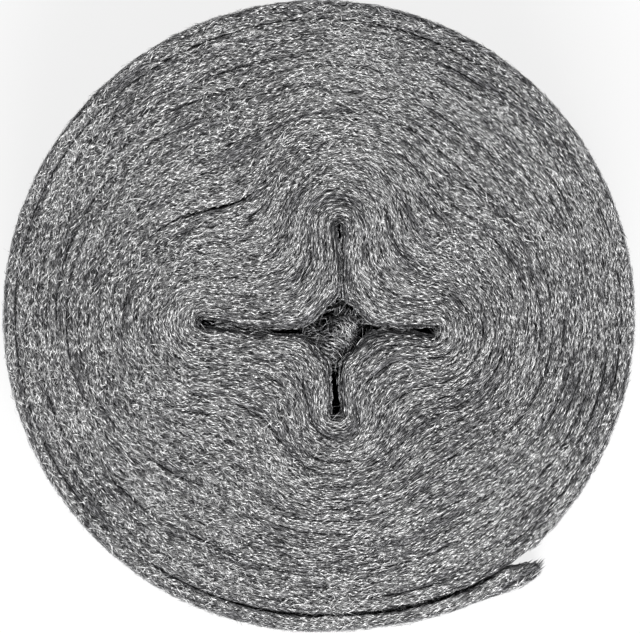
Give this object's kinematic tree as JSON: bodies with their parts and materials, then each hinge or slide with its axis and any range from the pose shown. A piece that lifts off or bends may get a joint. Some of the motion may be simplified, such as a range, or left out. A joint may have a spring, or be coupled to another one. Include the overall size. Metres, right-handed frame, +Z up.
{
  "type": "steel wool roll",
  "caption": "Wide ribbon of coarse steel wool wound into a round roll about a crushed, star-shaped hollow, with a free outer end, for scouring, filtering and finishing work.",
  "frame": {"origin": "middle of the roll's plan, on the surface that its lower end face rests on", "axes": "+Z up along the winding axis, +X and +Y to the right and to the top of the end face as the picture shows it"},
  "size_m": [0.22, 0.2198, 0.1],
  "materials": {
    "steel_wool": "bare grey steel strands, dull where they are packed and bright where one catches the light"
  },
  "bodies": {
    "root": {"steel_wool_ribbon": "steel_wool"}
  },
  "joints": []
}
